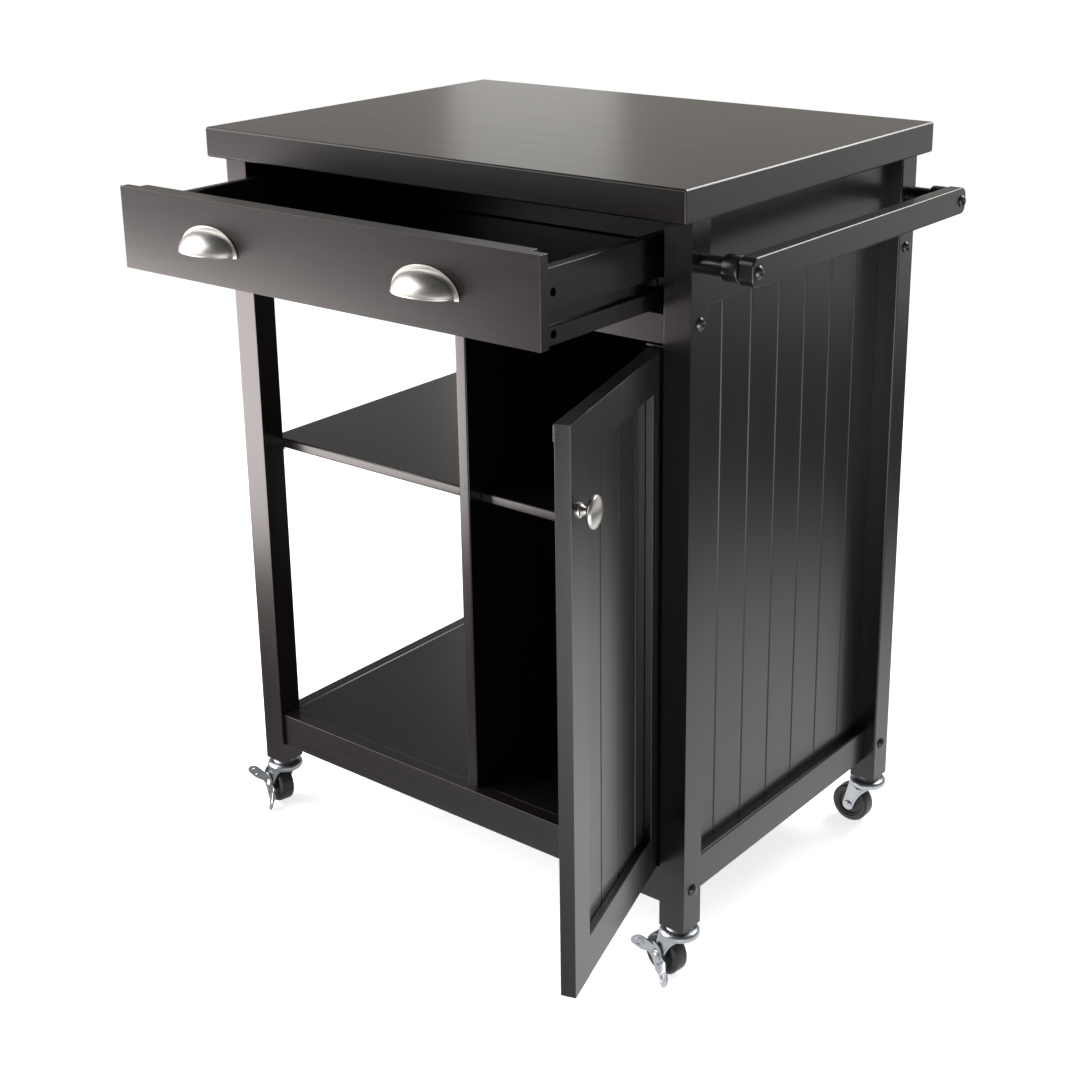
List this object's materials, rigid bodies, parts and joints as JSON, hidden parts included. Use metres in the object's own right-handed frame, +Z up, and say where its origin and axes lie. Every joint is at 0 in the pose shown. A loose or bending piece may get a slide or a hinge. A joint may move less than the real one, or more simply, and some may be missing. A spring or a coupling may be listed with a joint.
{
  "type": "rolling kitchen cart",
  "caption": "Rolling kitchen cart with a thick worktop, wide drawer with cup pulls, open shelves, a hinged cabinet door, a towel bar and swivel casters.",
  "frame": {"origin": "on the floor under the middle of the worktop and of the four posts", "axes": "+X right, toward the towel bar; +Y back, away from the drawer front; +Z up"},
  "size_m": [0.7765, 0.7348, 0.91],
  "materials": {
    "worktop_wood": "dark espresso lacquer, satin gloss, fine grain",
    "frame_wood": "dark espresso lacquer, satin gloss",
    "satin_nickel": "satin nickel plating",
    "dark_steel": "dark nickel plated steel",
    "zinc_steel": "bright zinc plated pressed steel",
    "wheel_grey": "dark grey moulded tread",
    "catch_black": "black moulded catch"
  },
  "bodies": {
    "frame": {"worktop": "worktop_wood", "post_front_left": "frame_wood", "post_front_right": "frame_wood", "post_rear_left": "frame_wood", "post_rear_right": "frame_wood", "rail_bottom_front": "frame_wood", "rail_bottom_rear": "frame_wood", "rail_bottom_left": "frame_wood", "rail_bottom_right": "frame_wood", "rail_drawer_front": "frame_wood", "rail_top_rear": "frame_wood", "rail_top_left": "frame_wood", "rail_top_right": "frame_wood", "side_panel_right": "frame_wood", "back_panel": "frame_wood", "divider": "frame_wood", "bottom_panel": "frame_wood", "shelf_left": "frame_wood", "shelf_cabinet": "frame_wood", "shelf_pins": "satin_nickel", "drawer_runner_left": "frame_wood", "drawer_runner_right": "frame_wood", "towel_bar": "frame_wood", "towel_bar_arm_front": "frame_wood", "towel_bar_arm_rear": "frame_wood", "towel_bar_bolts": "dark_steel", "frame_bolts": "dark_steel", "door_pivots": "zinc_steel", "magnetic_catch": "catch_black", "caster_stems": "zinc_steel"},
    "drawer": {"drawer_front": "worktop_wood", "drawer_side_left": "frame_wood", "drawer_side_right": "frame_wood", "drawer_back": "frame_wood", "drawer_bottom": "frame_wood", "cup_pull_left": "satin_nickel", "cup_pull_right": "satin_nickel", "drawer_screws": "zinc_steel"},
    "door": {"door_stile_hinge": "frame_wood", "door_stile_latch": "frame_wood", "door_rail_top": "frame_wood", "door_rail_bottom": "frame_wood", "door_panel": "frame_wood", "door_knob": "satin_nickel", "strike_plate": "zinc_steel"},
    "caster_front_left": {"caster_fork_front_left": "zinc_steel", "caster_axle_front_left": "zinc_steel"},
    "wheel_front_left": {"caster_wheel_front_left": "wheel_grey"},
    "brake_left": {"brake_pedal_left": "zinc_steel"},
    "caster_front_right": {"caster_fork_front_right": "zinc_steel", "caster_axle_front_right": "zinc_steel"},
    "wheel_front_right": {"caster_wheel_front_right": "wheel_grey"},
    "brake_right": {"brake_pedal_right": "zinc_steel"},
    "caster_rear_left": {"caster_fork_rear_left": "zinc_steel", "caster_axle_rear_left": "zinc_steel"},
    "wheel_rear_left": {"caster_wheel_rear_left": "wheel_grey"},
    "caster_rear_right": {"caster_fork_rear_right": "zinc_steel", "caster_axle_rear_right": "zinc_steel"},
    "wheel_rear_right": {"caster_wheel_rear_right": "wheel_grey"}
  },
  "joints": [
    {"name": "drawer_slide", "type": "slide", "parent": "frame", "child": "drawer", "axis": [0, -1, 0], "range_m": [-0.191, 0.109]},
    {"name": "door_hinge", "type": "hinge", "parent": "frame", "child": "door", "pos_m": [0.2925, -0.2235, 0.4435], "axis": [0, 0, 1], "range_deg": [-107.2, 8]},
    {"name": "caster_swivel_front_left", "type": "hinge", "parent": "frame", "child": "caster_front_left", "pos_m": [-0.3185, -0.2135, 0.063], "axis": [0, 0, 1], "continuous": true},
    {"name": "wheel_spin_front_left", "type": "hinge", "parent": "caster_front_left", "child": "wheel_front_left", "pos_m": [-0.33806, -0.20934, 0.025], "axis": [-0.2079, -0.9781, 0], "continuous": true},
    {"name": "brake_pedal_left", "type": "hinge", "parent": "caster_front_left", "child": "brake_left", "pos_m": [-0.33806, -0.20934, 0.025], "axis": [-0.2079, -0.9781, 0], "range_deg": [0, 30]},
    {"name": "caster_swivel_front_right", "type": "hinge", "parent": "frame", "child": "caster_front_right", "pos_m": [0.3185, -0.2135, 0.063], "axis": [0, 0, 1], "continuous": true},
    {"name": "wheel_spin_front_right", "type": "hinge", "parent": "caster_front_right", "child": "wheel_front_right", "pos_m": [0.29869, -0.21072, 0.025], "axis": [-0.1392, -0.9903, 0], "continuous": true},
    {"name": "brake_pedal_right", "type": "hinge", "parent": "caster_front_right", "child": "brake_right", "pos_m": [0.29869, -0.21072, 0.025], "axis": [-0.1392, -0.9903, 0], "range_deg": [0, 30]},
    {"name": "caster_swivel_rear_left", "type": "hinge", "parent": "frame", "child": "caster_rear_left", "pos_m": [-0.3185, 0.2135, 0.063], "axis": [0, 0, 1], "continuous": true},
    {"name": "wheel_spin_rear_left", "type": "hinge", "parent": "caster_rear_left", "child": "wheel_rear_left", "pos_m": [-0.33845, 0.2149, 0.025], "axis": [-0.0698, -0.9976, 0], "continuous": true},
    {"name": "caster_swivel_rear_right", "type": "hinge", "parent": "frame", "child": "caster_rear_right", "pos_m": [0.3185, 0.2135, 0.063], "axis": [0, 0, 1], "continuous": true},
    {"name": "wheel_spin_rear_right", "type": "hinge", "parent": "caster_rear_right", "child": "wheel_rear_right", "pos_m": [0.2985, 0.2135, 0.025], "axis": [0, -1, 0], "continuous": true}
  ]
}
